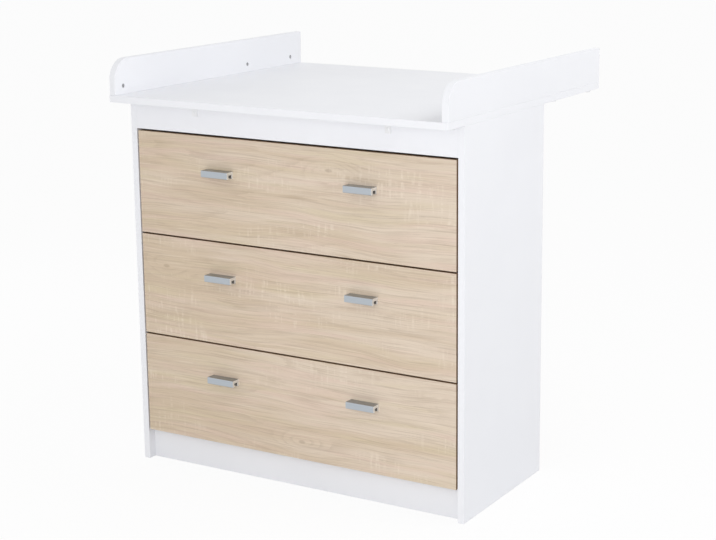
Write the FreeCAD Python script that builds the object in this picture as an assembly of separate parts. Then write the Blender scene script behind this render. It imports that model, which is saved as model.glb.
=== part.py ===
import FreeCAD, Part
import math
import os

# A changing dresser of melamine-faced chipboard. Two side panels stand on the floor and carry
# three inset drawers on roller runners, under a deep changing board with a raised board at each
# end. The origin is on the floor under the middle of the changing board, with +X to the right,
# -Y to the front and +Z up. All sizes are in millimetres.

os.makedirs("parts", exist_ok=True)
Vec = FreeCAD.Vector
RIGHT = Vec(1, 0, 0)
BACK = Vec(0, 1, 0)
UP = Vec(0, 0, 1)

# Carcass boards
width = 900.0
carcass_depth = 390.0
board = 16.0
board_rounding = 0.6
fascia_height = 70.0
rear_rail_height = 70.0
plinth_height = 72.0
plinth_setback = 21.0
plinth_gap = 5.0

# Back sheets, in a groove of the side panels and joined by a plastic strip
back_sheet = 3.0
back_inset = 10.0
back_groove_depth = 6.0
strip_wall = 0.8
strip_width = 18.0
sheet_play = 0.1

# Changing board and its end boards
changing_board_depth = 780.0
changing_board_thickness = 16.0
front_overhang = 75.0
end_board_height = 84.0
end_board_setback = 2.0
end_board_corner = 50.0

# Bolts and barrel nuts that hold the end boards
nut_from_front = 32.0
nut_from_rear = 52.0
nut_behind_carcass = 65.0
nut_rise = 20.0
nut_radius = 5.0
nut_sink = 1.5
nut_skin = 2.5
nut_slot_width = 1.4
bolt_radius = 3.0
bolt_head_radius = 6.5
bolt_head = 3.0
bolt_key_radius = 2.6
bolt_key_depth = 2.1
bolt_past_nut = 4.0

# Angle brackets between the rails and the changing board
bracket_leg = 30.0
bracket_width = 15.0
bracket_steel = 2.0
bracket_spread = 261.0
bracket_screw_out = 20.0

# Drawer fronts
levels = ["lower", "middle", "upper"]
front_height = 246.0
front_thickness = 16.0
front_reveal = 4.0
top_reveal = 5.0

# Drawer boxes
drawer_board = 12.0
drawer_lift = 20.0
drawer_side_drop = 66.0
drawer_rear_gap = 12.8
drawer_sheet = 3.0
drawer_sheet_lift = 8.0
drawer_groove_depth = 4.5

# Roller runners, a channel on the cabinet and a stepped rail on the drawer
runner_gap = 12.5
runner_setback = 2.0
runner_past_drawer = 4.0
runner_overlap = 80.0
runner_steel = 1.2
runner_rise = 0.5
track_gap = 0.8
lip_gap = 0.8
hook_width = 11.0
roller_radius = 10.0
roller_rounding = 0.6
roller_dish_radius = 7.0
roller_dish = 0.55
roller_end = 2.5
roller_play = 0.3
rivet_radius = 2.5
rivet_head_radius = 4.5
rivet_head = 0.6
stop_depth = 6.0
stop_thickness = 2.0

# Handles, a downward-open extruded profile on two machine screws
handle_length = 74.0
handle_height = 16.0
handle_depth = 24.0
handle_wall = 6.5
handle_roof = 7.0
handle_seat = 6.0
handle_rounding = 2.0
handle_offset = 194.0
handle_drop = 84.0
handle_screw_spacing = 64.0
handle_screw_radius = 2.0
handle_screw_head_radius = 3.8
handle_screw_head = 2.4

# Small screws and nails
screw_radius = 1.75
screw_length = 12.0
screw_head_radius = 3.2
screw_head = 0.9
runner_screw_first = 37.0
runner_screw_last = 57.0
runner_screws = 3
hook_screw_inset = 4.5
nail_radius = 0.8
nail_length = 14.0
nail_head_radius = 2.0
nail_head = 0.5
nails_per_row = 3

# Cam fittings
cam_radius = 7.5
cam_skin = 3.0
cam_from_end = 24.0
cam_play = 0.1
cam_slot_width = 1.4
cam_slot_length = 9.0
cam_slot_depth = 2.0
cam_bolt_radius = 3.0
cam_bolt_bite = 9.0
cam_bolt_bore = 4.0
cam_edge_margin = 18.0
floor_cam_margin = 60.0
drawer_cam_margin = 35.0

# Fits, and how far a cutting shape runs past the face that it opens
fit = 0.05
hole_play = 0.25
overcut = 1.0

# Places worked out from the sizes above
half_width = width / 2
inner_half = half_width - board
top_front = -changing_board_depth / 2
top_rear = changing_board_depth / 2
face = top_front + front_overhang
rear = face + carcass_depth
first_front = plinth_height + plinth_gap
front_pitch = front_height + front_reveal
fascia_under = first_front + len(levels) * front_pitch - front_reveal + top_reveal
side_height = fascia_under + fascia_height
rear_rail_under = side_height - rear_rail_height
top_surface = side_height + changing_board_thickness
floor_board_under = plinth_height - board
groove_width = back_sheet + 2 * sheet_play
groove_front = rear - back_inset - groove_width
front_half = inner_half - front_reveal
front_back = face + front_thickness
drawer_half = inner_half - runner_gap
drawer_inner_half = drawer_half - drawer_board
drawer_rear = groove_front - drawer_rear_gap
runner_front = front_back + runner_setback
runner_back = drawer_rear + runner_past_drawer
runner_length = runner_back - runner_front
runner_screw_pitch = (runner_length - runner_screw_first - runner_screw_last) / (runner_screws - 1)
drawer_travel = runner_length - runner_overlap
channel_web = inner_half - runner_steel
rail_web = drawer_half + runner_steel
roller_axis_in = roller_radius + roller_end
channel_height = 2 * (roller_radius + roller_play + runner_steel)
pieces = {}


def block(x0, x1, y0, y1, z0, z1):
    """A box between two corners."""
    return Part.makeBox(x1 - x0, y1 - y0, z1 - z0, Vec(x0, y0, z0))


def panel(x0, x1, y0, y1, z0, z1):
    """A board between two corners, its edges rounded by the edge band."""
    body = block(x0, x1, y0, y1, z0, z1)
    return body.makeFillet(board_rounding, body.Edges)


def rod(radius, length, start, along):
    """A round bar or hole from a start point."""
    return Part.makeCylinder(radius, length, start, along)


def mirrored(shape):
    """The same piece on the other side of the dresser."""
    return shape.mirror(Vec(0, 0, 0), RIGHT)


def both_sides(shapes):
    """Pieces of the right-hand side with their left-hand twins."""
    return [twin for shape in shapes for twin in (shape, mirrored(shape))]


def keep(name, *solids):
    """Stores a named piece, or a group of like pieces under one name."""
    pieces[name] = solids[0] if len(solids) == 1 else Part.makeCompound(list(solids))


def cut(name, holes):
    """Cuts holes and grooves into a stored piece."""
    pieces[name] = pieces[name].cut(holes)


def wood_screw(seat, inward):
    """A flat-headed chipboard screw, with its head's underside on the seat point."""
    head = rod(screw_head_radius, screw_head, seat - inward * screw_head, inward)
    tip = 2 * screw_radius
    shank = rod(screw_radius, screw_length - tip, seat, inward)
    point = Part.makeCone(screw_radius, 0, tip, seat + inward * (screw_length - tip), inward)
    return head.fuse([shank, point]).removeSplitter()


def wood_screw_hole(seat, inward):
    """The pilot hole that a chipboard screw fills."""
    return rod(screw_radius + fit, screw_length + fit, seat, inward)


def cam_fitting(spot, outward, toward, thickness):
    """A cam and its bolt, and the holes for them in the held board and in the panel it meets.

    spot is on the held board's face over the cam, outward leaves that face and toward points
    at the panel.
    """
    depth = thickness - cam_skin
    axis_point = spot - outward * (thickness / 2)
    cam = rod(cam_radius, depth, spot, -outward)
    cam_bore = rod(cam_bolt_radius + fit, cam_radius + overcut, axis_point, toward)
    across = outward.cross(toward)
    slots = []
    for long_way, short_way in ((toward, across), (across, toward)):
        corner = spot - long_way * (cam_slot_length / 2) - short_way * (cam_slot_width / 2)
        slot_edge = Part.makePolygon(
            [
                corner,
                corner + long_way * cam_slot_length,
                corner + long_way * cam_slot_length + short_way * cam_slot_width,
                corner + short_way * cam_slot_width,
                corner,
            ]
        )
        slots.append(Part.Face(slot_edge).extrude(-outward * cam_slot_depth))
    cam = cam.cut([cam_bore, *slots])
    shank = rod(cam_bolt_radius, cam_from_end, axis_point, toward)
    bite_start = axis_point + toward * cam_from_end
    thread = rod(cam_bolt_radius - fit, cam_bolt_bite, bite_start, toward)
    bolt = shank.fuse(thread).removeSplitter()
    pocket = rod(cam_radius + cam_play, depth, spot, -outward)
    end_bore = rod(cam_bolt_bore, cam_from_end + overcut, axis_point, toward)
    panel_bore = rod(cam_bolt_radius, cam_bolt_bite + fit, bite_start, toward)
    return [cam, bolt], [pocket, end_bore], [panel_bore]


def add_cams(spots, outward, toward, thickness, held, panel_name, group):
    """Fits cams at several spots and drills both boards for them."""
    for spot in spots:
        fitting, held_holes, panel_holes = cam_fitting(spot, outward, toward, thickness)
        group.extend(fitting)
        cut(held, held_holes)
        cut(panel_name, panel_holes)


# Side panels. They stand on the floor, and a groove near the rear edge takes the back sheets.
side_panel = panel(inner_half, half_width, face, rear, 0, side_height)
groove = block(
    inner_half - overcut,
    inner_half + back_groove_depth,
    groove_front,
    groove_front + groove_width,
    floor_board_under,
    side_height + overcut,
)
side_panel = side_panel.cut(groove)
keep("side_panel_right", side_panel)
keep("side_panel_left", mirrored(side_panel))

# Rails, plinth and floor board between the side panels
plinth_front = face + plinth_setback
plinth_back = plinth_front + board
rear_rail_front = groove_front - board
keep("fascia_rail", panel(-inner_half, inner_half, face, face + board, fascia_under, side_height))
keep(
    "rear_rail",
    panel(-inner_half, inner_half, rear_rail_front, groove_front, rear_rail_under, side_height),
)
keep("plinth_board", panel(-inner_half, inner_half, plinth_front, plinth_back, 0, plinth_height))
keep(
    "floor_board",
    panel(-inner_half, inner_half, plinth_back, groove_front, floor_board_under, plinth_height),
)

# Cam fittings of the carcass. Each board is held at both ends by the same pattern.
carcass_cams = []
cam_line = inner_half - cam_from_end
top_cam_height = side_height - cam_edge_margin
cam_rows = [
    ("fascia_rail", BACK, face + board, [fascia_under + cam_edge_margin, top_cam_height]),
    ("rear_rail", -BACK, rear_rail_front, [rear_rail_under + cam_edge_margin, top_cam_height]),
    ("plinth_board", BACK, plinth_back, [floor_board_under / 2]),
]
for held, outward, cam_y, heights in cam_rows:
    for toward, panel_name in ((RIGHT, "side_panel_right"), (-RIGHT, "side_panel_left")):
        spots = [Vec(toward.x * cam_line, cam_y, height) for height in heights]
        add_cams(spots, outward, toward, board, held, panel_name, carcass_cams)
for toward, panel_name in ((RIGHT, "side_panel_right"), (-RIGHT, "side_panel_left")):
    spots = [
        Vec(toward.x * cam_line, cam_y, floor_board_under)
        for cam_y in (plinth_back + floor_cam_margin, groove_front - floor_cam_margin)
    ]
    add_cams(spots, -UP, toward, board, "floor_board", panel_name, carcass_cams)
keep("carcass_cams", *carcass_cams)

# Back: two hardboard sheets meet in an H-shaped strip at the middle, nailed to the rear rail and
# to the floor board.
sheet_front = groove_front + sheet_play
sheet_rear = sheet_front + back_sheet
sheet_edge = inner_half + back_groove_depth - sheet_play
strip_half_web = strip_wall / 2
back_right = block(
    strip_half_web + sheet_play, sheet_edge, sheet_front, sheet_rear, floor_board_under, side_height
)
keep("back_sheet_right", back_right)
keep("back_sheet_left", mirrored(back_right))
strip_front = sheet_front - strip_wall
web = block(
    -strip_half_web, strip_half_web, sheet_front, sheet_rear, floor_board_under, side_height
)
rear_flange = block(
    -strip_width / 2,
    strip_width / 2,
    sheet_rear,
    sheet_rear + strip_wall,
    floor_board_under,
    side_height,
)
front_flange = block(
    -strip_width / 2, strip_width / 2, strip_front, sheet_front, plinth_height, rear_rail_under
)
keep("back_strip", web.fuse([rear_flange, front_flange]).removeSplitter())
nails = []
nail_rows = [
    ("floor_board", floor_board_under + board / 2),
    ("rear_rail", rear_rail_under + rear_rail_height / 2),
]
for held, height in nail_rows:
    for step in range(nails_per_row):
        across = strip_width + (step + 0.5) * (inner_half - strip_width) / nails_per_row
        seat = Vec(across, sheet_rear, height)
        nail = rod(nail_head_radius, nail_head, seat, BACK).fuse(
            rod(nail_radius, nail_length, seat, -BACK)
        )
        hole = rod(nail_radius + fit, nail_length + fit, seat, -BACK)
        nails.append(nail.removeSplitter())
        cut(held, [hole, mirrored(hole)])
        cut("back_sheet_right", [hole])
        cut("back_sheet_left", [mirrored(hole)])
keep("back_nails", *both_sides(nails))

# Changing board, and an end board with a rounded front corner on each end of it
keep(
    "changing_board",
    panel(-half_width, half_width, top_front, top_rear, side_height, top_surface),
)
end_front = top_front + end_board_setback
end_top = top_surface + end_board_height
turn = end_board_corner * (1 - math.sqrt(0.5))
outline = [
    Part.LineSegment(
        Vec(inner_half, end_front, top_surface), Vec(inner_half, end_front, end_top - end_board_corner)
    ),
    Part.Arc(
        Vec(inner_half, end_front, end_top - end_board_corner),
        Vec(inner_half, end_front + turn, end_top - turn),
        Vec(inner_half, end_front + end_board_corner, end_top),
    ),
    Part.LineSegment(
        Vec(inner_half, end_front + end_board_corner, end_top), Vec(inner_half, top_rear, end_top)
    ),
    Part.LineSegment(Vec(inner_half, top_rear, end_top), Vec(inner_half, top_rear, top_surface)),
    Part.LineSegment(Vec(inner_half, top_rear, top_surface), Vec(inner_half, end_front, top_surface)),
]
end_board = Part.Face(Part.Wire([part.toShape() for part in outline])).extrude(RIGHT * board)
end_board = end_board.makeFillet(board_rounding, end_board.Edges)
keep("end_board_right", end_board)
keep("end_board_left", mirrored(end_board))

# Bolts from below, through the changing board, into barrel nuts in the end boards. They stand
# clear of the side panels, in the overhangs in front of and behind the carcass.
bolts = []
barrel_nuts = []
bolt_x = inner_half + board / 2
nut_places = [top_front + nut_from_front, rear + nut_behind_carcass, top_rear - nut_from_rear]
for nut_y in nut_places:
    seat = Vec(bolt_x, nut_y, side_height)
    reach = changing_board_thickness + nut_rise + nut_radius + bolt_past_nut
    head = rod(bolt_head_radius, bolt_head, seat, -UP)
    hexagon = Part.makePolygon(
        [
            seat - UP * bolt_head + Vec(math.cos(corner), math.sin(corner), 0) * bolt_key_radius
            for corner in [side * math.pi / 3 for side in range(7)]
        ]
    )
    key_hole = Part.Face(hexagon).extrude(UP * bolt_key_depth)
    shank = rod(bolt_radius, reach, seat, UP)
    bolts.append(head.fuse(shank).removeSplitter().cut(key_hole))
    nut_start = Vec(inner_half + nut_sink, nut_y, top_surface + nut_rise)
    nut_length = board - nut_sink - nut_skin
    nut = rod(nut_radius, nut_length, nut_start, RIGHT)
    nut_slot = block(
        nut_start.x,
        nut_start.x + nut_sink,
        nut_y - nut_radius,
        nut_y + nut_radius,
        nut_start.z - nut_slot_width / 2,
        nut_start.z + nut_slot_width / 2,
    )
    thread = rod(bolt_radius + fit, reach, seat, UP)
    barrel_nuts.append(nut.cut([nut_slot, thread]))
    nut_hole = rod(nut_radius + cam_play, nut_length + nut_sink, nut_start - RIGHT * nut_sink, RIGHT)
    bolt_hole = rod(bolt_radius + hole_play, reach + fit, seat, UP)
    cut("end_board_right", [nut_hole, bolt_hole])
    cut("end_board_left", [mirrored(nut_hole), mirrored(bolt_hole)])
    cut("changing_board", [bolt_hole, mirrored(bolt_hole)])
keep("board_bolts", *both_sides(bolts))
keep("barrel_nuts", *both_sides(barrel_nuts))

# Angle brackets: one pair in front of the fascia, under the overhang, and one pair inside, on the
# rear rail. A screw in each leg holds the changing board down.
brackets = []
panel_screws = []
for held, wall_y in (("fascia_rail", face), ("rear_rail", rear_rail_front)):
    left = bracket_spread - bracket_width / 2
    right = bracket_spread + bracket_width / 2
    skin_y = wall_y - bracket_steel
    upright = block(left, right, skin_y, wall_y, side_height - bracket_leg, side_height)
    flat = block(left, right, wall_y - bracket_leg, wall_y, side_height - bracket_steel, side_height)
    angle = upright.fuse(flat).removeSplitter()
    side_seat = Vec(bracket_spread, skin_y, side_height - bracket_screw_out)
    top_seat = Vec(bracket_spread, wall_y - bracket_screw_out, side_height - bracket_steel)
    for seat, inward, drilled in ((side_seat, BACK, held), (top_seat, UP, "changing_board")):
        hole = wood_screw_hole(seat, inward)
        angle = angle.cut(hole)
        cut(drilled, [hole, mirrored(hole)])
        panel_screws.extend(both_sides([wood_screw(seat, inward)]))
    brackets.extend(both_sides([angle]))
keep("angle_brackets", *brackets)


def handle_at(centre_x, centre_z):
    """One handle: a seat against the front, a roof and a front wall round an open finger gap."""
    left = centre_x - handle_length / 2
    under = centre_z - handle_height / 2
    over = centre_z + handle_height / 2
    outer = block(left, left + handle_length, face - handle_depth, face, under, over)
    front_edges = [
        edge
        for edge in outer.Edges
        if abs(edge.BoundBox.YMax - (face - handle_depth)) < fit and edge.BoundBox.XLength > handle_wall
    ]
    outer = outer.makeFillet(min(handle_rounding, handle_wall - fit), front_edges)
    gap = block(
        left - overcut,
        left + handle_length + overcut,
        face - handle_depth + handle_wall,
        face - handle_seat,
        under - overcut,
        over - handle_roof,
    )
    holes = [
        rod(handle_screw_radius + fit, handle_seat, Vec(centre_x + side, face, centre_z), -BACK)
        for side in (-handle_screw_spacing / 2, handle_screw_spacing / 2)
    ]
    return outer.cut([gap, *holes])


def handle_screw_at(x, z):
    """A pan-headed machine screw from inside the drawer, and its hole in the front."""
    seat = Vec(x, front_back, z)
    head = rod(handle_screw_head_radius, handle_screw_head, seat, BACK)
    rim = [edge for edge in head.Edges if abs(edge.BoundBox.YMin - front_back - handle_screw_head) < fit]
    head = head.makeFillet(handle_screw_head / 2, [edge for edge in rim if edge.Closed])
    shank = rod(handle_screw_radius, front_thickness + handle_seat, seat, -BACK)
    hole = rod(handle_screw_radius + hole_play, front_thickness, seat, -BACK)
    return head.fuse(shank).removeSplitter(), hole


def rivet(start, outward, length):
    """The rivet that a roller turns on, with its head at the far end."""
    pin = rod(rivet_radius, length, start, outward)
    head = rod(rivet_head_radius, rivet_head, start + outward * length, outward)
    return pin.fuse(head).removeSplitter()


def roller(x0, x1, y, z):
    """A plastic roller with a slightly dished flank and a running bore."""
    wheel = rod(roller_radius, x1 - x0, Vec(x0, y, z), RIGHT)
    dish = rod(roller_dish_radius, roller_dish, Vec(x0, y, z), RIGHT)
    hub = rod(rivet_head_radius, x1 - x0, Vec(x0, y, z), RIGHT)
    bore = rod(rivet_radius + fit, x1 - x0, Vec(x0, y, z), RIGHT)
    rim = [edge for edge in wheel.Edges if edge.Closed]
    wheel = wheel.makeFillet(roller_rounding, rim)
    return wheel.cut(dish).fuse(hub).removeSplitter().cut(bore)


def cabinet_runner(side_bottom):
    """The right-hand channel of the cabinet, its front rivet and roller, and its screws."""
    under = side_bottom + runner_rise
    over = under + channel_height
    lip = rail_web + lip_gap
    flange_front = runner_front + 2 * roller_axis_in
    plate = block(channel_web, inner_half, runner_front, runner_back, under, over)
    lower = block(lip, inner_half, flange_front, runner_back, under, under + runner_steel)
    upper = block(lip, inner_half, flange_front, runner_back, over - runner_steel, over)
    stop_back = runner_back - roller_axis_in - drawer_travel - roller_radius - roller_play
    stop = block(
        lip,
        inner_half,
        stop_back - stop_thickness,
        stop_back,
        over - runner_steel - stop_depth,
        over,
    )
    channel = plate.fuse([lower, upper, stop]).removeSplitter()
    screws = []
    for step in range(runner_screws):
        screw_y = runner_front + runner_screw_first + step * runner_screw_pitch
        seat = Vec(channel_web, screw_y, (under + over) / 2)
        channel = channel.cut(wood_screw_hole(seat, RIGHT))
        screws.append(seat)
    track = over + track_gap
    axis_y = runner_front + roller_axis_in
    axis_z = track - roller_play - roller_radius
    head_at = lip - rivet_head
    pin_length = channel_web - head_at - rivet_head
    pin = rivet(Vec(channel_web, axis_y, axis_z), -RIGHT, pin_length)
    wheel = roller(head_at + rivet_head + roller_play, channel_web - roller_play, axis_y, axis_z)
    return channel, pin, wheel, screws


def drawer_runner(side_bottom):
    """The right-hand rail of a drawer, hooked under its side, with a rear rivet and roller."""
    under = side_bottom + runner_rise
    track = under + channel_height + track_gap
    rail_end = channel_web - lip_gap
    hook = block(
        rail_web - hook_width, rail_web, runner_front, runner_back, side_bottom - runner_steel, side_bottom
    )
    plate = block(
        drawer_half, rail_web, runner_front, runner_back, side_bottom - runner_steel, track + runner_steel
    )
    tread = block(drawer_half, rail_end, runner_front, runner_back, track, track + runner_steel)
    rail = plate.fuse([hook, tread]).removeSplitter()
    axis_y = runner_back - roller_axis_in
    axis_z = under + runner_steel + roller_play + roller_radius
    head_end = channel_web - screw_head - roller_play
    pin_length = head_end - rivet_head - rail_web
    pin = rivet(Vec(rail_web, axis_y, axis_z), RIGHT, pin_length)
    wheel = roller(rail_web + lip_gap + roller_play, head_end - rivet_head - roller_play, axis_y, axis_z)
    seats = []
    for step in range(runner_screws):
        screw_y = runner_front + runner_screw_first + step * runner_screw_pitch
        seat = Vec(drawer_half - hook_screw_inset, screw_y, side_bottom - runner_steel)
        rail = rail.cut(wood_screw_hole(seat, UP))
        seats.append(seat)
    return rail, pin, wheel, seats


# Drawers, from the lowest to the highest, each with its runners in the carcass
for number, level in enumerate(levels):
    front_under = first_front + number * front_pitch
    front_over = front_under + front_height
    side_bottom = front_under + drawer_lift
    side_top = front_over - drawer_side_drop
    drawer = level + "_drawer_"

    front = panel(-front_half, front_half, face, front_back, front_under, front_over)
    side = panel(drawer_inner_half, drawer_half, front_back, drawer_rear, side_bottom, side_top)
    keep(drawer + "front", front)
    keep(drawer + "side_right", side)
    keep(drawer + "side_left", mirrored(side))
    keep(
        drawer + "back",
        panel(
            -drawer_inner_half,
            drawer_inner_half,
            drawer_rear - drawer_board,
            drawer_rear,
            side_bottom,
            side_top,
        ),
    )

    # The bottom sheet sits in a groove of the front, the sides and the back.
    sheet_under = side_bottom + drawer_sheet_lift
    groove_box = block(
        -drawer_inner_half - drawer_groove_depth,
        drawer_inner_half + drawer_groove_depth,
        front_back - drawer_groove_depth,
        drawer_rear - drawer_board + drawer_groove_depth,
        sheet_under - sheet_play,
        sheet_under + drawer_sheet + sheet_play,
    )
    for name in ("front", "side_right", "side_left", "back"):
        cut(drawer + name, [groove_box])
    keep(
        drawer + "bottom",
        block(
            -drawer_inner_half - drawer_groove_depth + sheet_play,
            drawer_inner_half + drawer_groove_depth - sheet_play,
            front_back - drawer_groove_depth + sheet_play,
            drawer_rear - drawer_board + drawer_groove_depth - sheet_play,
            sheet_under,
            sheet_under + drawer_sheet,
        ),
    )

    # Cams in the inner faces of the sides pull the front on, and cams in the back pull the sides on.
    cams = []
    cam_heights = [side_bottom + drawer_cam_margin, side_top - drawer_cam_margin]
    for hand, side_name in ((1, "side_right"), (-1, "side_left")):
        inward = RIGHT * -hand
        spots = [
            Vec(hand * drawer_inner_half, front_back + cam_from_end, height) for height in cam_heights
        ]
        add_cams(spots, inward, -BACK, drawer_board, drawer + side_name, drawer + "front", cams)
        spots = [
            Vec(hand * (drawer_inner_half - cam_from_end), drawer_rear, height)
            for height in cam_heights
        ]
        add_cams(spots, BACK, -inward, drawer_board, drawer + "back", drawer + side_name, cams)
    keep(drawer + "cams", *cams)

    # Two handles on the front
    handle_z = front_over - handle_drop
    screws = []
    for hand, side_name in ((1, "right"), (-1, "left")):
        keep(level + "_handle_" + side_name, handle_at(hand * handle_offset, handle_z))
        for side in (-handle_screw_spacing / 2, handle_screw_spacing / 2):
            screw, hole = handle_screw_at(hand * handle_offset + side, handle_z)
            screws.append(screw)
            cut(drawer + "front", [hole])
    keep(level + "_handle_screws", *screws)

    # The drawer's rails and rollers
    rail, pin, wheel, seats = drawer_runner(side_bottom)
    keep(drawer + "runners", *both_sides([rail, pin]))
    keep(drawer + "rollers", *both_sides([wheel]))
    holes = [wood_screw_hole(seat, UP) for seat in seats]
    cut(drawer + "side_right", holes)
    cut(drawer + "side_left", [mirrored(hole) for hole in holes])
    keep(drawer + "screws", *both_sides([wood_screw(seat, UP) for seat in seats]))

    # The channels and rollers of the cabinet
    channel, pin, wheel, seats = cabinet_runner(side_bottom)
    keep(level + "_cabinet_runners", *both_sides([channel, pin]))
    keep(level + "_cabinet_rollers", *both_sides([wheel]))
    holes = [wood_screw_hole(seat, RIGHT) for seat in seats]
    cut("side_panel_right", holes)
    cut("side_panel_left", [mirrored(hole) for hole in holes])
    panel_screws.extend(both_sides([wood_screw(seat, RIGHT) for seat in seats]))
keep("panel_screws", *panel_screws)

for name, shape in pieces.items():
    shape.exportStep("parts/" + name + ".step")
print(len(pieces), "pieces")
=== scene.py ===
import math

import bmesh
import bpy
from mathutils import Matrix, Vector


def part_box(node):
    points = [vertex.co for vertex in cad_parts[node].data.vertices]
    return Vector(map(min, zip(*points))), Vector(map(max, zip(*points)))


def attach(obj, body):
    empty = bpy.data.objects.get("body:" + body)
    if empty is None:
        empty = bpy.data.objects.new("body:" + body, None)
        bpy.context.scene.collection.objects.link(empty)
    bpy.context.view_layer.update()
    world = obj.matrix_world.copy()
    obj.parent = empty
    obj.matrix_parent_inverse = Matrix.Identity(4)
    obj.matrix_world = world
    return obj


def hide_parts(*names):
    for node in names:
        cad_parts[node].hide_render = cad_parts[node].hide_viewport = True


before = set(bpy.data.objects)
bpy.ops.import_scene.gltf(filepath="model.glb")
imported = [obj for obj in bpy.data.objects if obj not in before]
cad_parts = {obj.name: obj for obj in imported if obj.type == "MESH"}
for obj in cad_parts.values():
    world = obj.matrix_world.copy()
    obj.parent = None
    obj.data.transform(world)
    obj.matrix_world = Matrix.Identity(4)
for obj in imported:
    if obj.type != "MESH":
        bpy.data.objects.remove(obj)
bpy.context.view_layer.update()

# Camera. It stands in front of the dresser's right-hand corner and looks slightly down on the
# changing board. The lens is shifted a little, because the picture's frame isn't centred on it.
SENSOR_WIDTH = 36.0
LENS = 83.04
CAMERA_PLACE = (2.081, -3.369, 1.428)
CAMERA_YAW = 28.84
CAMERA_PITCH = 12.45
SHIFT_RIGHT = -0.12
SHIFT_UP = -0.05
camera_data = bpy.data.cameras.new("camera")
camera_data.sensor_width = SENSOR_WIDTH
camera_data.lens = LENS
camera_data.shift_x = SHIFT_RIGHT
camera_data.shift_y = SHIFT_UP
camera = bpy.data.objects.new("camera", camera_data)
camera.location = CAMERA_PLACE
camera.rotation_euler = (math.radians(90 - CAMERA_PITCH), 0, math.radians(CAMERA_YAW))
bpy.context.scene.collection.objects.link(camera)
bpy.context.scene.camera = camera

# Side panels. 16 mm chipboard faced with white melamine paper, which has a fine satin grain. The
# visible edges carry a white band, and the rear and bottom edges show the bare chipboard core.
X, Y, Z = range(3)
MELAMINE = (0.858, 0.866, 0.897)
MELAMINE_SHADE = (0.838, 0.846, 0.878)
MELAMINE_GRAIN_DEPTH = 0.00006
MELAMINE_SWELL = 0.6
BAND_THICKNESS = 0.0008
BAND_JOINT = (0.45, 0.44, 0.43)
BAND_JOINT_WIDTH = 0.00012
BAND_JOINT_SHARE = 0.35
CORE_LIGHT = (0.62, 0.47, 0.30)
CORE_TAN = (0.50, 0.36, 0.215)
CORE_DARK = (0.26, 0.165, 0.085)
CORE_FLAKES_PER_METRE = 420.0
CORE_FLAKE_FLATNESS = 0.45


def surface(name, roughness=0.5, metallic=0.0, reflection=0.5):
    """A material with its surface shader, to be given a colour and a relief."""
    material = bpy.data.materials.new(name)
    material.use_nodes = True
    shader = material.node_tree.nodes["Principled BSDF"]
    shader.inputs["Roughness"].default_value = roughness
    shader.inputs["Metallic"].default_value = metallic
    shader.inputs["Specular IOR Level"].default_value = reflection
    return material, material.node_tree, shader


def put(tree, socket, value):
    """Links a node's output to a socket, or sets the socket to a number or a colour."""
    if isinstance(value, bpy.types.NodeSocket):
        tree.links.new(value, socket)
    elif isinstance(value, tuple) and len(value) == 3 and socket.type == "RGBA":
        socket.default_value = (*value, 1.0)
    else:
        socket.default_value = value


def paint(tree, shader, colour):
    """Gives a surface its colour."""
    put(tree, shader.inputs["Base Color"], colour)


def relief(tree, shader, height, depth, strength):
    """Raises and lowers a surface by up to depth, in metres."""
    bump = tree.nodes.new("ShaderNodeBump")
    bump.inputs["Strength"].default_value = strength
    bump.inputs["Distance"].default_value = depth
    tree.links.new(height, bump.inputs["Height"])
    tree.links.new(bump.outputs["Normal"], shader.inputs["Normal"])


def object_coordinates(tree):
    """The place on the piece, in metres."""
    return tree.nodes.new("ShaderNodeTexCoord").outputs["Object"]


def place(tree, stretch=(1, 1, 1), shift=(0, 0, 0), coordinates=None):
    """Coordinates scaled and shifted for a pattern. They are the piece's own, if none are given."""
    mapping = tree.nodes.new("ShaderNodeMapping")
    mapping.inputs["Scale"].default_value = stretch
    mapping.inputs["Location"].default_value = shift
    tree.links.new(coordinates or object_coordinates(tree), mapping.inputs["Vector"])
    return mapping.outputs["Vector"]


def noise(tree, scale=1.0, detail=2.0, raggedness=0.5, distortion=0.0, **placing):
    """A cloudy value from 0 to 1, with scale clouds in a metre before any stretch."""
    texture = tree.nodes.new("ShaderNodeTexNoise")
    texture.inputs["Scale"].default_value = scale
    texture.inputs["Detail"].default_value = detail
    texture.inputs["Roughness"].default_value = raggedness
    texture.inputs["Distortion"].default_value = distortion
    tree.links.new(place(tree, **placing), texture.inputs["Vector"])
    return texture.outputs["Fac"]


def maths(tree, operation, first, second=0.0):
    """One step of arithmetic on two values."""
    step = tree.nodes.new("ShaderNodeMath")
    step.operation = operation
    put(tree, step.inputs[0], first)
    put(tree, step.inputs[1], second)
    return step.outputs["Value"]


def times(tree, first, second):
    """The product of two values."""
    return maths(tree, "MULTIPLY", first, second)


def between(tree, value, low, high, start=0.0, end=1.0):
    """Eases a value from start at low to end at high."""
    ranged = tree.nodes.new("ShaderNodeMapRange")
    ranged.interpolation_type = "SMOOTHSTEP"
    put(tree, ranged.inputs["Value"], value)
    ranged.inputs["From Min"].default_value = low
    ranged.inputs["From Max"].default_value = high
    ranged.inputs["To Min"].default_value = start
    ranged.inputs["To Max"].default_value = end
    return ranged.outputs["Result"]


def blend_colours(tree, share, first, second, how="MIX"):
    """Mixes two colours by a share from 0 to 1."""
    mixer = tree.nodes.new("ShaderNodeMix")
    mixer.data_type = "RGBA"
    mixer.blend_type = how
    # The node has sockets for every type of data, and 6, 7 and 2 are the ones for colours.
    put(tree, mixer.inputs[0], share)
    put(tree, mixer.inputs[6], first)
    put(tree, mixer.inputs[7], second)
    return mixer.outputs[2]


def axes(tree, vector):
    """The X, Y and Z parts of a vector."""
    parts = tree.nodes.new("ShaderNodeSeparateXYZ")
    tree.links.new(vector, parts.inputs["Vector"])
    return parts.outputs


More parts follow.
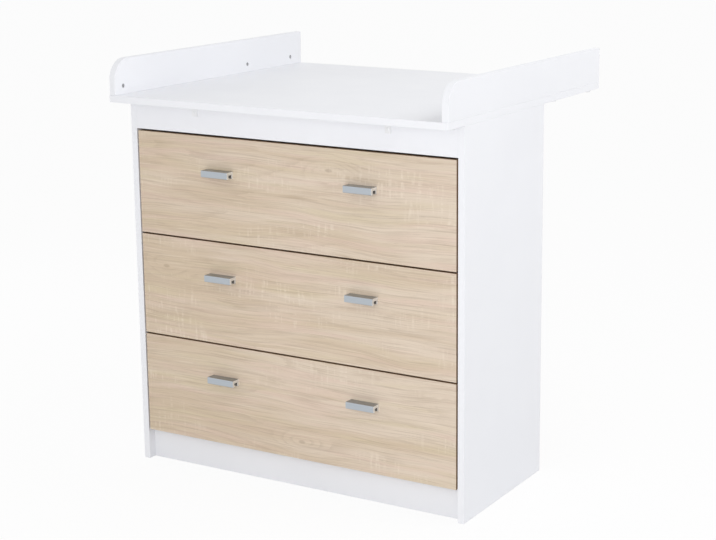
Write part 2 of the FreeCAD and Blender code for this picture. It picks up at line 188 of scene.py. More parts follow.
def facing(tree, axis):
    """How squarely the surface faces along an axis, either way, from 0 to 1."""
    normal = tree.nodes.new("ShaderNodeNewGeometry").outputs["Normal"]
    turned = tree.nodes.new("ShaderNodeVectorTransform")
    turned.vector_type = "NORMAL"
    turned.convert_from = "WORLD"
    turned.convert_to = "OBJECT"
    tree.links.new(normal, turned.inputs["Vector"])
    return maths(tree, "ABSOLUTE", axes(tree, turned.outputs["Vector"])[axis])


def distance_from(tree, axis, edge):
    """How far the surface lies from a place along an axis, in metres."""
    position = axes(tree, object_coordinates(tree))
    return maths(tree, "ABSOLUTE", maths(tree, "SUBTRACT", position[axis], edge))


def band_joint(tree, corners, thin_axis):
    """1 on the hairline where the edge band meets the board's faces, else 0."""
    low, high = corners
    lines = 0.0
    for axis in (X, Y, Z):
        if axis == thin_axis:
            continue
        for joint in (low[axis] + BAND_THICKNESS, high[axis] - BAND_THICKNESS):
            away = distance_from(tree, axis, joint)
            line = between(tree, away, low=0.0, high=BAND_JOINT_WIDTH, start=1.0, end=0.0)
            lines = maths(tree, "MAXIMUM", lines, line)
    return times(tree, lines, between(tree, facing(tree, thin_axis), low=0.8, high=0.95))


def chipboard_core(tree):
    """Bare chipboard, of flat pressed flakes with dark gaps between them."""
    flakes = tree.nodes.new("ShaderNodeTexVoronoi")
    flakes.inputs["Scale"].default_value = CORE_FLAKES_PER_METRE
    flat = place(tree, stretch=(1, 1, CORE_FLAKE_FLATNESS))
    tree.links.new(flat, flakes.inputs["Vector"])
    speckle = axes(tree, flakes.outputs["Color"])[X]
    gaps = noise(tree, scale=900.0, detail=4.0, raggedness=0.7)
    core = blend_colours(tree, speckle, CORE_LIGHT, CORE_TAN)
    return blend_colours(tree, between(tree, gaps, low=0.62, high=0.75), core, CORE_DARK)


def melamine(name, board, bare_edges=()):
    """White melamine board. bare_edges has the axis and place of each edge without a band."""
    low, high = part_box(board)
    thin_axis = min((X, Y, Z), key=lambda axis: high[axis] - low[axis])
    material, tree, shader = surface(name, reflection=0.4)
    cloud = between(tree, noise(tree, scale=3.0, detail=3.0), low=0.35, high=0.7)
    colour = blend_colours(tree, cloud, MELAMINE, MELAMINE_SHADE)
    joint = times(tree, band_joint(tree, (low, high), thin_axis), BAND_JOINT_SHARE)
    colour = blend_colours(tree, joint, colour, BAND_JOINT)
    for axis, edge in bare_edges:
        square = between(tree, facing(tree, axis), low=0.7, high=0.9)
        away = distance_from(tree, axis, edge)
        near = between(tree, away, low=0.0003, high=0.0006, start=1.0, end=0.0)
        colour = blend_colours(tree, times(tree, square, near), colour, chipboard_core(tree))
    paint(tree, shader, colour)
    grain = noise(tree, scale=1500.0)
    swell = noise(tree, scale=60.0, detail=1.0)
    height = maths(tree, "ADD", grain, times(tree, swell, MELAMINE_SWELL))
    relief(tree, shader, height, depth=MELAMINE_GRAIN_DEPTH, strength=0.5)
    handled = noise(tree, scale=14.0, detail=4.0)
    satin = between(tree, handled, low=0.3, high=0.7, start=0.38, end=0.46)
    put(tree, shader.inputs["Roughness"], satin)
    return material


def dress(node, material):
    """Gives a construction piece its finish."""
    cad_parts[node].material_slots[0].material = material


for side in ("left", "right"):
    panel = "side_panel_" + side
    low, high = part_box(panel)
    rear_and_bottom = [(Y, high.y), (Z, low.z)]
    dress(panel, melamine("side_panel_melamine_" + side, panel, rear_and_bottom))

# Rails, plinth and floor board. The same white melamine board, cut into strips that run between
# the side panels and are pulled up tight by cams from behind.
for board in ("fascia_rail", "rear_rail", "plinth_board", "floor_board"):
    dress(board, melamine(board + "_melamine", board))

# Cam fittings of the carcass. Die-cast zinc cams and steel bolts, galvanised, with the mottled
# grey of a thin zinc coat.
ZINC_LIGHT = (0.60, 0.61, 0.62)
ZINC_DARK = (0.40, 0.41, 0.43)
ZINC_SCRATCH_DEPTH = 0.00003
ZINC_SMOOTHER = 0.07
ZINC_ROUGHER = 0.09


def zinc(name, light=ZINC_LIGHT, dark=ZINC_DARK, roughness=0.34):
    """Galvanised metal with soft mottling and fine scratches."""
    material, tree, shader = surface(name, metallic=1.0)
    mottle = noise(tree, scale=260.0, detail=3.0, distortion=0.6)
    mottle = between(tree, mottle, low=0.35, high=0.65)
    paint(tree, shader, blend_colours(tree, mottle, light, dark))
    scratches = noise(tree, scale=3500.0, stretch=(1, 1, 0.05))
    relief(tree, shader, scratches, depth=ZINC_SCRATCH_DEPTH, strength=0.4)
    smooth = roughness - ZINC_SMOOTHER
    rough = roughness + ZINC_ROUGHER
    worn = between(tree, scratches, low=0.3, high=0.7, start=smooth, end=rough)
    put(tree, shader.inputs["Roughness"], worn)
    return material


zinc_coat = zinc("zinc_coat")
dress("carcass_cams", zinc_coat)

# Back. Two sheets of thin brown hardboard, pressed from wood fibre, with a white plastic strip
# over the joint between them and flat nails along the rails.
HARDBOARD_LIGHT = (0.42, 0.275, 0.155)
HARDBOARD_DARK = (0.27, 0.165, 0.085)
HARDBOARD_FIBRE_DEPTH = 0.00012
FIBRE_SHARE = 0.55
STAIN_SHARE = 0.45


def hardboard(name):
    """Brown board, darker where its fibres gather and in wide stains."""
    material, tree, shader = surface(name, roughness=0.62, reflection=0.35)
    fibres = noise(tree, scale=520.0, detail=6.0, raggedness=0.75, distortion=0.8)
    stains = noise(tree, scale=5.0, detail=4.0, stretch=(1, 1, 1.4))
    dark_fibres = times(tree, between(tree, fibres, low=0.38, high=0.66), FIBRE_SHARE)
    dark_stains = times(tree, between(tree, stains, low=0.3, high=0.7), STAIN_SHARE)
    dark_share = maths(tree, "ADD", dark_fibres, dark_stains)
    paint(tree, shader, blend_colours(tree, dark_share, HARDBOARD_LIGHT, HARDBOARD_DARK))
    relief(tree, shader, fibres, depth=HARDBOARD_FIBRE_DEPTH, strength=0.5)
    return material


def fine_finish(name, light, dark, depth, strength, roughness, metallic=0.0, **pattern):
    """A finish whose colour and relief both follow one fine pattern."""
    material, tree, shader = surface(name, roughness, metallic)
    texture = noise(tree, **pattern)
    paint(tree, shader, blend_colours(tree, texture, light, dark))
    relief(tree, shader, texture, depth, strength)
    return material


back_hardboard = hardboard("back_hardboard")
for side in ("left", "right"):
    dress("back_sheet_" + side, back_hardboard)
strip_plastic = fine_finish(
    "strip_plastic",
    light=(0.84, 0.84, 0.835),
    dark=(0.78, 0.78, 0.775),
    depth=0.00004,
    strength=0.4,
    roughness=0.36,
    scale=1800.0,
    stretch=(1, 1, 0.01),
)
dress("back_strip", strip_plastic)
dress("back_nails", zinc("nail_steel", light=(0.55, 0.55, 0.56), dark=(0.36, 0.36, 0.37)))

# Changing board and its end boards. White melamine again, on a deep board that overhangs at the
# front and the rear, with an end board bolted on at each side and rounded at its front corner.
for board in ("changing_board", "end_board_left", "end_board_right"):
    dress(board, melamine(board + "_melamine", board))

# Bolts and barrel nuts of the end boards. The nuts are burnished steel and show as grey discs on
# the inner faces, and the galvanised bolts come up through the changing board.
dress("barrel_nuts", zinc("burnished_steel", light=(0.50, 0.50, 0.51), dark=(0.38, 0.38, 0.39)))
bright_zinc = zinc(
    "bright_zinc", light=(0.86, 0.87, 0.88), dark=(0.74, 0.75, 0.77), roughness=0.42
)
dress("board_bolts", bright_zinc)

# Angle brackets under the changing board. Pressed steel with a white epoxy coat, which is a little
# greyer in soft clouds and shows a fine orange-peel.
EPOXY = (0.845, 0.850, 0.865)
EPOXY_SHADE = (0.800, 0.805, 0.820)
EPOXY_PEEL_DEPTH = 0.00005


def epoxy_coat(name):
    """White stoved paint on pressed steel."""
    material, tree, shader = surface(name, roughness=0.3)
    cloud = between(tree, noise(tree, scale=45.0, detail=3.0), low=0.35, high=0.7)
    paint(tree, shader, blend_colours(tree, cloud, EPOXY, EPOXY_SHADE))
    orange_peel = noise(tree, scale=900.0, detail=1.0)
    relief(tree, shader, orange_peel, depth=EPOXY_PEEL_DEPTH, strength=0.5)
    return material


dress("angle_brackets", epoxy_coat("bracket_paint"))

# Screws of the brackets and of the cabinet runners. Galvanised chipboard screws with a low head
# and a cross recess, each seated where the construction has it.
RECESS_CELLS = 5
RECESS_SPAN = 0.62
RECESS_DEPTH = 0.7
RECESS_TAPER = 0.8
CROWN_RIM = 0.86
CROWN_DROP = 0.25
POINT_LENGTH = 2.0
POINT_WIDTH = 0.1
WOOD_SCREW = {
    "head_radius": 0.0032,
    "head_height": 0.0009,
    "dome": 0.0003,
    "shank_radius": 0.00175,
}
SAME_PLACE = 1e-6


def solid_groups(node):
    """The separate solids of a construction piece, each as a list of its corner points."""
    merged = bmesh.new()
    merged.from_mesh(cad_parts[node].data)
    bmesh.ops.remove_doubles(merged, verts=merged.verts, dist=SAME_PLACE)
    groups = []
    reached = set()
    for start in merged.verts:
        if start in reached:
            continue
        reached.add(start)
        found = [start]
        for vert in found:
            for edge in vert.link_edges:
                other = edge.other_vert(vert)
                if other not in reached:
                    reached.add(other)
                    found.append(other)
        groups.append([vert.co.copy() for vert in found])
    merged.free()
    return groups


def head_and_tip(points):
    """The middle of a screw's head, which is its wider end, and of its tip."""
    low = Vector([min(point[axis] for point in points) for axis in (X, Y, Z)])
    high = Vector([max(point[axis] for point in points) for axis in (X, Y, Z)])
    size = high - low
    long_axis = max((X, Y, Z), key=lambda axis: size[axis])
    side_axis = (long_axis + 1) % 3
    ends = []
    for level in (low[long_axis], high[long_axis]):
        middle = (low + high) / 2
        middle[long_axis] = level
        near = [p for p in points if abs(p[long_axis] - level) < size[long_axis] / 4]
        reach = max(abs(point[side_axis] - middle[side_axis]) for point in near)
        ends.append((reach, middle))
    tip, head = [middle for reach, middle in sorted(ends, key=lambda end: end[0])]
    return head, tip


def verts_in(geometry):
    """The corner points among a mesh operator's results."""
    return [item for item in geometry if isinstance(item, bmesh.types.BMVert)]


def sink_recess(shape, head_radius, head_height):
    """A flat square with a cross sunk into it, for the middle of a screw's head."""
    half = head_radius * RECESS_SPAN
    grid = bmesh.ops.create_grid(
        shape, x_segments=RECESS_CELLS, y_segments=RECESS_CELLS, size=half
    )
    cell = 2 * half / RECESS_CELLS
    arms = []
    for face in dict.fromkeys(face for vert in grid["verts"] for face in vert.link_faces):
        across, along = sorted(abs(value) for value in face.calc_center_median().xy)
        if across < cell / 2 and along < 1.5 * cell:
            arms.append(face)
    sunk = bmesh.ops.extrude_face_region(shape, geom=arms)
    bmesh.ops.delete(shape, geom=arms, context="FACES_KEEP_BOUNDARY")
    floor_verts = verts_in(sunk["geom"])
    bmesh.ops.translate(shape, verts=floor_verts, vec=(0, 0, -head_height * RECESS_DEPTH))
    bmesh.ops.scale(shape, verts=floor_verts, vec=(RECESS_TAPER, RECESS_TAPER, 1))


def add_screw(shape, head, tip, head_radius, head_height, dome, shank_radius):
    """Builds one screw in a mesh, from its cross recess outwards and then down to the tip."""
    before = set(shape.verts)
    sink_recess(shape, head_radius, head_height)
    length = (tip - head).length
    rings = [
        (head_radius * CROWN_RIM, -dome * CROWN_DROP),
        (head_radius, -dome),
        (head_radius, -head_height),
        (shank_radius, -head_height),
        (shank_radius, shank_radius * POINT_LENGTH - length),
        (shank_radius * POINT_WIDTH, -length),
    ]
    rim = [edge for edge in shape.edges if edge.is_boundary]
    for radius, height in rings:
        grown = bmesh.ops.extrude_edge_only(shape, edges=rim)["geom"]
        for vert in verts_in(grown):
            outward = vert.co.xy.normalized() * radius
            vert.co = (outward.x, outward.y, height)
        rim = [item for item in grown if isinstance(item, bmesh.types.BMEdge)]
    bmesh.ops.edgeloop_fill(shape, edges=rim)
    turn = Vector((0, 0, -1)).rotation_difference(tip - head).to_matrix().to_4x4()
    new_verts = [vert for vert in shape.verts if vert not in before]
    bmesh.ops.transform(shape, matrix=Matrix.Translation(head) @ turn, verts=new_verts)


def finished(name, shape, material, smooth_below=40):
    """Makes an object of a mesh, with its normals outward and its hard edges kept."""
    bmesh.ops.recalc_face_normals(shape, faces=shape.faces)
    mesh = bpy.data.meshes.new(name)
    shape.to_mesh(mesh)
    shape.free()
    mesh.shade_smooth()
    mesh.set_sharp_from_angle(angle=math.radians(smooth_below))
    mesh.materials.append(material)
    made = bpy.data.objects.new(name, mesh)
    bpy.context.scene.collection.objects.link(made)
    return made


def dress_screws(node, body, coat, sizes):
    """Replaces a group of plain screws by detailed ones in the same places."""
    shape = bmesh.new()
    for points in solid_groups(node):
        head, tip = head_and_tip(points)
        add_screw(shape, head, tip, **sizes)
    screws = finished(node + "_detailed", shape, coat)
    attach(screws, body)
    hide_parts(node)


dress_screws("panel_screws", "carcass", bright_zinc, WOOD_SCREW)

# Runners and their rollers. White-coated steel, a channel screwed to each side panel and a stepped
# rail to each side of a drawer, with a nylon roller on a rivet at one end of each.
LEVELS = ("lower", "middle", "upper")
runner_paint = epoxy_coat("runner_paint")
roller_nylon = fine_finish(
    "roller_nylon",
    light=(0.83, 0.82, 0.78),
    dark=(0.74, 0.73, 0.69),
    depth=0.00008,
    strength=0.3,
    roughness=0.38,
    scale=180.0,
    detail=3.0,
)
for level in LEVELS:
    dress(level + "_cabinet_runners", runner_paint)
    dress(level + "_cabinet_rollers", roller_nylon)
    dress(level + "_drawer_runners", runner_paint)
    dress(level + "_drawer_rollers", roller_nylon)

# Drawer fronts. 16 mm board faced with a rough-sawn light oak decor, its grain running across.
# Each front is cut from another place of the sheet, so the figure differs from front to front. The
# print is painted browner at the left and paler at the right, which is painted light falling from
# the right, and the edges are painted a darker brown, which is painted shade in the gaps between
# the fronts.
OAK_LIGHT = (0.725, 0.618, 0.508)
OAK_TAN = (0.605, 0.482, 0.345)
OAK_ROSE = (0.700, 0.545, 0.452)
OAK_OLIVE = (0.650, 0.555, 0.385)
OAK_LINE = (0.385, 0.285, 0.195)
OAK_SAWN = (0.815, 0.715, 0.600)
OAK_KNOT = (0.30, 0.205, 0.13)
OAK_GRAIN_DEPTH = 0.00010
# A darker brown multiplied onto the fronts' edges, as painted shade in the gaps between them.
EDGE_GAP_SHADE = (0.56, 0.44, 0.34)
# How much paler the print is painted towards the right, as painted light from that side.
PAINTED_LIGHT_TO_THE_RIGHT = 0.28
PORE_STRENGTH = 0.32
PORE_DEPTH = 0.6
SAW_STRENGTH = 0.45
SAW_HEIGHT = 0.5
SWAY_MIDDLE = 0.5
SWAY_HEIGHT = 0.05
RINGS_PER_SWELL = 15.0
RING_RAGGEDNESS = 0.030
KNOT_REACH = 0.042
KNOT_FLATNESS = 0.45
KNOT_BOW = 0.16
SHEET_PLACE = {"lower": (0.4, 0.0, 0.7), "middle": (2.7, 0.0, 1.9), "upper": (5.1, 0.0, 3.4)}
KNOT_RIGHT_OF_MIDDLE = {"lower": 0.02, "middle": -0.36, "upper": 0.105}
KNOT_ABOVE_LOWER_EDGE = {"lower": 0.043, "middle": 0.173, "upper": 0.195}


def fibres_along(tree, flow, shift, length, width, detail=2.0):
    """Streaks of wood fibre, by their length and width in metres."""
    stretch = (1 / length, 1 / length, 1 / width)
    return noise(tree, detail=detail, stretch=stretch, shift=shift, coordinates=flow)


def along_sheet(shift, metres):
    """A place further along the sheet, so that one kind of streak doesn't follow another."""
    return (shift[X] + metres, shift[Y], shift[Z])


def swaying(tree, shift):
    """Object coordinates that rise and fall a little, so that no streak runs dead straight."""
    sway = noise(tree, stretch=(2.2, 2.2, 6.0), shift=shift)
    sway = maths(tree, "SUBTRACT", sway, SWAY_MIDDLE)
    bend = tree.nodes.new("ShaderNodeCombineXYZ")
    tree.links.new(times(tree, sway, SWAY_HEIGHT), bend.inputs["Z"])
    bent = tree.nodes.new("ShaderNodeVectorMath")
    bent.operation = "ADD"
    tree.links.new(object_coordinates(tree), bent.inputs[0])
    tree.links.new(bend.outputs["Vector"], bent.inputs[1])
    return bent.outputs["Vector"]


def near_knot(tree, level):
    """1 at a knot's middle, easing to 0 around it, further along the grain than across."""
    lower_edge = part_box(level + "_drawer_front")[0].z
    position = axes(tree, object_coordinates(tree))
    along = maths(tree, "SUBTRACT", position[X], KNOT_RIGHT_OF_MIDDLE[level])
    along = times(tree, along, KNOT_FLATNESS)
    across = maths(tree, "SUBTRACT", position[Z], lower_edge + KNOT_ABOVE_LOWER_EDGE[level])
    along_squared = maths(tree, "POWER", along, 2.0)
    across_squared = maths(tree, "POWER", across, 2.0)
    away = maths(tree, "SQRT", maths(tree, "ADD", along_squared, across_squared))
    return between(tree, away, low=0.0, high=KNOT_REACH, start=1.0, end=0.0)


def print_over(tree, colour, ink, streaks, low, high, strength):
    """Prints an ink over a colour where streaks run above low, at full strength above high."""
    share = times(tree, between(tree, streaks, low, high), strength)
    return blend_colours(tree, share, colour, ink)


def soft_tones(tree, flow, shift):
    """The broad tan, rose and olive tones under the grain, painted paler to the right as painted
    light.
    """
    tone = fibres_along(tree, flow, shift, length=0.55, width=0.030, detail=3.0)
    # Painted light: the tones grow paler towards the right, as if a lamp stood there.
    from_middle = axes(tree, object_coordinates(tree))[X]
    tone = maths(tree, "SUBTRACT", tone, times(tree, from_middle, PAINTED_LIGHT_TO_THE_RIGHT))
    tan_share = between(tree, tone, low=0.34, high=0.68, start=0.12, end=0.82)
    colour = blend_colours(tree, tan_share, OAK_LIGHT, OAK_TAN)
    rose = fibres_along(tree, flow, along_sheet(shift, 9.0), length=0.30, width=0.022)
    colour = print_over(tree, colour, OAK_ROSE, rose, low=0.45, high=0.68, strength=0.60)
    olive = fibres_along(tree, flow, along_sheet(shift, 17.0), length=0.36, width=0.026)
    return print_over(tree, colour, OAK_OLIVE, olive, low=0.5, high=0.72, strength=0.55)


def growth_rings(tree, flow, shift, knot_share):
    """Dark late wood of each growth ring, which bows round the knot and fades in and out."""
    swell = fibres_along(tree, flow, shift, length=0.80, width=0.11, detail=1.0)
    swell = maths(tree, "ADD", swell, times(tree, knot_share, KNOT_BOW))
    ragged = fibres_along(tree, flow, shift, length=0.05, width=0.004)
    swell = maths(tree, "ADD", swell, times(tree, ragged, RING_RAGGEDNESS))
    ring = maths(tree, "FRACT", times(tree, swell, RINGS_PER_SWELL))
    darkening = between(tree, ring, low=0.45, high=0.93)
    ending = between(tree, ring, low=0.95, high=1.0, start=1.0, end=0.0)
    fading = fibres_along(tree, flow, along_sheet(shift, 5.0), length=0.16, width=0.02)
    strength = between(tree, fading, low=0.36, high=0.70, start=0.02, end=0.27)
    return times(tree, times(tree, darkening, ending), strength)


def saw_marks(tree, flow, shift):
    """Pale upright marks of the saw, in patches, torn along the grain."""
    saw = noise(tree, stretch=(130.0, 130.0, 16.0), shift=shift)
    patches = noise(tree, detail=1.0, stretch=(5.0, 5.0, 14.0), shift=shift)
    torn = fibres_along(tree, flow, shift, length=0.03, width=0.005)
    marks = between(tree, saw, low=0.5, high=0.66)
    marks = times(tree, marks, between(tree, patches, low=0.50, high=0.66))
    return times(tree, marks, between(tree, torn, low=0.35, high=0.6))


def oak_decor(level):
    """Printed oak: soft tones, growth rings, one small knot, fine fibres, pores and saw marks."""
    material, tree, shader = surface("oak_decor_" + level, reflection=0.35)
    shift = SHEET_PLACE[level]
    flow = swaying(tree, shift)
    colour = soft_tones(tree, flow, shift)

    knot_share = near_knot(tree, level)
    ring_share = growth_rings(tree, flow, shift, knot_share)
    colour = blend_colours(tree, ring_share, colour, OAK_LINE)

    broad = fibres_along(tree, flow, shift, length=0.40, width=0.0042, detail=3.0)
    colour = print_over(tree, colour, OAK_LINE, broad, low=0.52, high=0.72, strength=0.12)
    fine = fibres_along(tree, flow, shift, length=0.13, width=0.0018, detail=4.0)
    colour = print_over(tree, colour, OAK_LINE, fine, low=0.48, high=0.70, strength=0.36)
    pale_shift = along_sheet(shift, 3.0)
    pale = fibres_along(tree, flow, pale_shift, length=0.16, width=0.0030, detail=3.0)
    colour = print_over(tree, colour, OAK_SAWN, pale, low=0.52, high=0.74, strength=0.40)

    pores = fibres_along(tree, flow, shift, length=0.022, width=0.0009)
    pore_share = between(tree, pores, low=0.62, high=0.74)
    colour = blend_colours(tree, times(tree, pore_share, PORE_STRENGTH), colour, OAK_LINE)
    colour = print_over(
        tree, colour, OAK_KNOT, knot_share, low=0.955, high=0.995, strength=0.35
    )
    saw_share = saw_marks(tree, flow, shift)
    colour = blend_colours(tree, times(tree, saw_share, SAW_STRENGTH), colour, OAK_SAWN)

    # Painted shade: the edges facing up, down and sideways are multiplied darker, for the shade in
    # the gaps between the fronts.
    on_gap_shaded_edge = between(tree, facing(tree, Y), low=0.3, high=0.7, start=1.0, end=0.0)
    colour = blend_colours(tree, on_gap_shaded_edge, colour, EDGE_GAP_SHADE, how="MULTIPLY")
    paint(tree, shader, colour)

    sunk = maths(tree, "ADD", times(tree, pore_share, PORE_DEPTH), ring_share)
    raised = maths(tree, "ADD", times(tree, saw_share, SAW_HEIGHT), fine)
    grain = maths(tree, "SUBTRACT", raised, sunk)
    relief(tree, shader, grain, depth=OAK_GRAIN_DEPTH, strength=0.6)
    matt = between(tree, broad, low=0.3, high=0.7, start=0.46, end=0.58)
    put(tree, shader.inputs["Roughness"], matt)
    return material


for level in LEVELS:
    dress(level + "_drawer_front", oak_decor(level))

# Drawer boxes. Foil-wrapped chipboard sides and back, with a white lacquered sheet in their
# groove, held to the front by zinc cams.
FOIL = (0.845, 0.845, 0.835)
FOIL_SHADE = (0.800, 0.800, 0.790)
FOIL_GRAIN_DEPTH = 0.00008


def foil(name):
    """White foil on chipboard, which lets the board's soft unevenness through."""
    material, tree, shader = surface(name, roughness=0.34, reflection=0.45)
    paint(tree, shader, blend_colours(tree, noise(tree, scale=6.0, detail=3.0), FOIL, FOIL_SHADE))
    relief(tree, shader, noise(tree, scale=240.0), depth=FOIL_GRAIN_DEPTH, strength=0.35)
    return material


drawer_foil = foil("drawer_foil")
drawer_lacquer = fine_finish(
    "drawer_lacquer",
    light=(0.835, 0.835, 0.825),
    dark=(0.790, 0.790, 0.775),
    depth=0.00006,
    strength=0.4,
    roughness=0.28,
    scale=420.0,
    detail=4.0,
    raggedness=0.6,
)
for level in LEVELS:
    for part in ("side_left", "side_right", "back"):
        dress(level + "_drawer_" + part, drawer_foil)
    dress(level + "_drawer_bottom", drawer_lacquer)
    dress(level + "_drawer_cams", zinc_coat)
    dress_screws(level + "_drawer_screws", level + "_drawer", zinc_coat, WOOD_SCREW)

# Handles. A short piece of extruded aluminium, open below and at its ends, satin anodised with
# fine lines along its length, with painted shade on its roof and inside its hollow. Two machine
# screws hold it from inside the drawer.
HANDLE_WALL = 0.0065
HANDLE_ROOF = 0.007
HANDLE_SEAT = 0.006
HANDLE_ROUNDING = 0.002
HANDLE_BREAK = 0.00035
HANDLE_SHARP_ANGLE = 40
HANDLE_LINE_DEPTH = 0.00003
MACHINE_SCREW = {
    "head_radius": 0.0038,
    "head_height": 0.0024,
    "dome": 0.0012,
    "shank_radius": 0.002,
}
ANODISED = (0.52, 0.56, 0.60)
ANODISED_LINE = (0.42, 0.46, 0.50)
# Painted shade for the handle's roof, and how much of it is laid on.
ROOF_PAINTED_SHADE = (0.33, 0.345, 0.36)
ROOF_SHADE_SHARE = 0.75
ANODISED_ANISOTROPY = 0.5
SAWN_ALUMINIUM = (0.86, 0.87, 0.87)
SAWN_ROUGHNESS = 0.2


def anodised(name):
    """Satin aluminium with drawn lines, painted shade on its roof and bright matt sawn ends."""
    material, tree, shader = surface(name, metallic=1.0)
    shader.inputs["Anisotropic"].default_value = ANODISED_ANISOTROPY
    lines = noise(tree, detail=3.0, stretch=(6.0, 1200.0, 1200.0))
    colour = blend_colours(tree, lines, ANODISED, ANODISED_LINE)
    # Painted shade: the faces that look up or down are darkened, standing in for the dark roof.
    roof_shade_share = between(tree, facing(tree, Z), low=0.75, high=0.98)
    roof_shade_share = times(tree, roof_shade_share, ROOF_SHADE_SHARE)
    colour = blend_colours(tree, roof_shade_share, colour, ROOF_PAINTED_SHADE)
    sawn_end = between(tree, facing(tree, X), low=0.8, high=0.95)
    paint(tree, shader, blend_colours(tree, sawn_end, colour, SAWN_ALUMINIUM))
    relief(tree, shader, lines, depth=HANDLE_LINE_DEPTH, strength=0.5)
    satin = between(tree, lines, low=0.3, high=0.7, start=0.28, end=0.40)
    matt = maths(tree, "ADD", satin, times(tree, sawn_end, SAWN_ROUGHNESS))
    put(tree, shader.inputs["Roughness"], matt)
    return material


satin_anodised = anodised("satin_anodised")
# Painted shade: a dark metal for the faces inside the handle's hollow, where shade falls.
hollow_shade_metal = fine_finish(
    "hollow_shade_metal",
    light=(0.22, 0.20, 0.18),
    dark=(0.13, 0.12, 0.11),
    depth=0.00004,
    strength=0.5,
    roughness=0.6,
    metallic=0.6,
    detail=3.0,
    stretch=(8.0, 900.0, 900.0),
)


def soften(shape, edges, offset, segments, clamp_overlap):
    """Rounds the given edges of a mesh."""
    bmesh.ops.bevel(
        shape,
        geom=edges,
        offset=offset,
        segments=segments,
        profile=0.5,
        affect="EDGES",
        material=-1,
        clamp_overlap=clamp_overlap,
    )


def handle(node, body):
    """The extruded profile, with its front edges rounded and all cut edges broken."""
    low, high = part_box(node)
    roof = high.z - HANDLE_ROOF
    wall_back = low.y + HANDLE_WALL
    seat_front = high.y - HANDLE_SEAT
    section = [
        (low.y, low.z),
        (low.y, high.z),
        (high.y, high.z),
        (high.y, low.z),
        (seat_front, low.z),
        (seat_front, roof),
        (wall_back, roof),
        (wall_back, low.z),
    ]
    shape = bmesh.new()
    end = shape.faces.new([shape.verts.new((low.x, y, z)) for y, z in section])
    pulled = bmesh.ops.extrude_face_region(shape, geom=[end])
    bmesh.ops.translate(shape, verts=verts_in(pulled["geom"]), vec=(high.x - low.x, 0, 0))
    front_edges = [
        edge
        for edge in shape.edges
        if all(abs(vert.co.y - low.y) < SAME_PLACE for vert in edge.verts)
        and abs(edge.verts[0].co.x - edge.verts[1].co.x) > SAME_PLACE
    ]
    soften(shape, front_edges, HANDLE_ROUNDING, segments=6, clamp_overlap=False)
    bmesh.ops.recalc_face_normals(shape, faces=shape.faces)
    sharp_angle = math.radians(HANDLE_SHARP_ANGLE)
    sharp = [edge for edge in shape.edges if edge.calc_face_angle(0) > sharp_angle]
    soften(shape, sharp, HANDLE_BREAK, segments=2, clamp_overlap=True)
    # The faces inside the hollow take the second material, the painted shade.
    for face in shape.faces:
        middle = face.calc_center_median()
        inside = wall_back - SAME_PLACE < middle.y < seat_front + SAME_PLACE
        face.material_index = int(inside and middle.z < roof + SAME_PLACE)
    made = finished(node + "_profile", shape, satin_anodised, smooth_below=50)
    made.data.materials.append(hollow_shade_metal)
    made.modifiers.new("even_shading", "WEIGHTED_NORMAL").keep_sharp = True
    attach(made, body)
    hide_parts(node)


for level in LEVELS:
    for side in ("left", "right"):
        handle(f"{level}_handle_{side}", level + "_drawer")
    dress_screws(level + "_handle_screws", level + "_drawer", zinc_coat, MACHINE_SCREW)

# Floor. A plain pale studio floor that keeps a soft shadow and runs to white.
FLOOR_HALF = 20.0
FLOOR_PAINT = (0.86, 0.86, 0.865)
FLOOR_WHITE_SHARE = 0.92


def looked_at(tree):
    """1 where a surface is seen directly, in a reflection or through a clear piece, else 0."""
    rays = tree.nodes.new("ShaderNodeLightPath").outputs
    share = maths(tree, "MAXIMUM", rays["Is Camera Ray"], rays["Is Glossy Ray"])
    return maths(tree, "MAXIMUM", share, rays["Is Transmission Ray"])


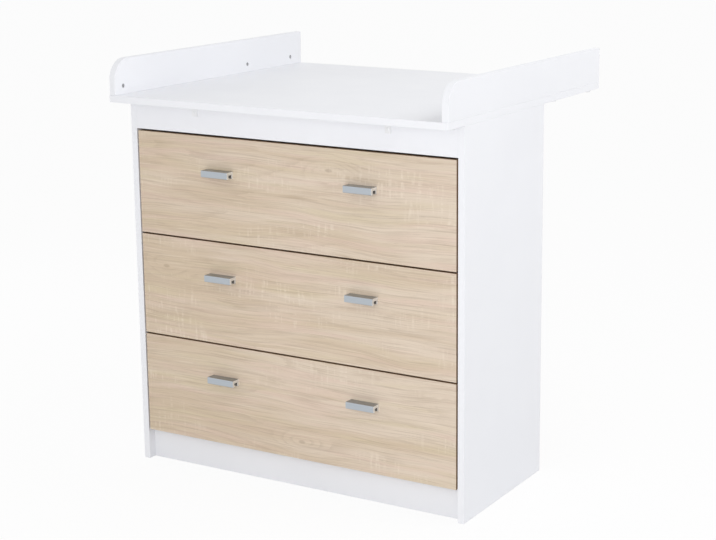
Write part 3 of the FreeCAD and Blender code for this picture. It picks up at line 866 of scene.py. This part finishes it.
def mix_shaders(tree, share, first, second, output):
    """Feeds an output node with a mix of two shaders, by a share from 0 to 1."""
    mix = tree.nodes.new("ShaderNodeMixShader")
    put(tree, mix.inputs[0], share)
    tree.links.new(first, mix.inputs[1])
    tree.links.new(second, mix.inputs[2])
    tree.links.new(mix.outputs["Shader"], tree.nodes[output].inputs["Surface"])


floor_paint, tree, shader = surface("floor_paint", roughness=0.7, reflection=0.2)
paint(tree, shader, FLOOR_PAINT)
plain_white = tree.nodes.new("ShaderNodeEmission")
mix_shaders(
    tree,
    share=times(tree, looked_at(tree), FLOOR_WHITE_SHARE),
    first=shader.outputs["BSDF"],
    second=plain_white.outputs["Emission"],
    output="Material Output",
)
floor_shape = bmesh.new()
bmesh.ops.create_grid(floor_shape, x_segments=1, y_segments=1, size=FLOOR_HALF)
floor = finished("floor", floor_shape, floor_paint)

# Light. A bright even room with large soft lamps. One stands in front, a little to the right and at
# the height of the changing board, one hangs high on the right, and a weak one stands on the left.
WHITE = (1.0, 1.0, 1.0)
WORLD_LEVEL = 0.71
LAMP_SIZE = 1.6
world = bpy.data.worlds.new("room")
bpy.context.scene.world = world
world.use_nodes = True
tree = world.node_tree
room = tree.nodes["Background"]
put(tree, room.inputs["Color"], WHITE)
put(tree, room.inputs["Strength"], WORLD_LEVEL)
backdrop = tree.nodes.new("ShaderNodeBackground")
put(tree, backdrop.inputs["Color"], WHITE)
mix_shaders(
    tree,
    share=looked_at(tree),
    first=room.outputs["Background"],
    second=backdrop.outputs["Background"],
    output="World Output",
)


def lamp(name, watts, stands_at, aims_at):
    """A square soft lamp, aimed at a point."""
    data = bpy.data.lights.new(name, "AREA")
    data.energy = watts
    data.size = LAMP_SIZE
    made = bpy.data.objects.new(name, data)
    bpy.context.scene.collection.objects.link(made)
    made.location = stands_at
    aim = Vector(aims_at) - Vector(stands_at)
    made.rotation_euler = aim.to_track_quat("-Z", "Y").to_euler()


lamp("key_lamp", watts=22.0, stands_at=(1.0, -2.8, 1.0), aims_at=(0.0, 0.0, 0.6))
lamp("right_lamp", watts=23.0, stands_at=(2.0, 0.3, 2.6), aims_at=(0.0, 0.0, 0.9))
lamp("left_lamp", watts=6.0, stands_at=(-2.4, 0.0, 1.2), aims_at=(0.0, 0.0, 0.6))
bpy.context.scene.view_settings.view_transform = "Standard"
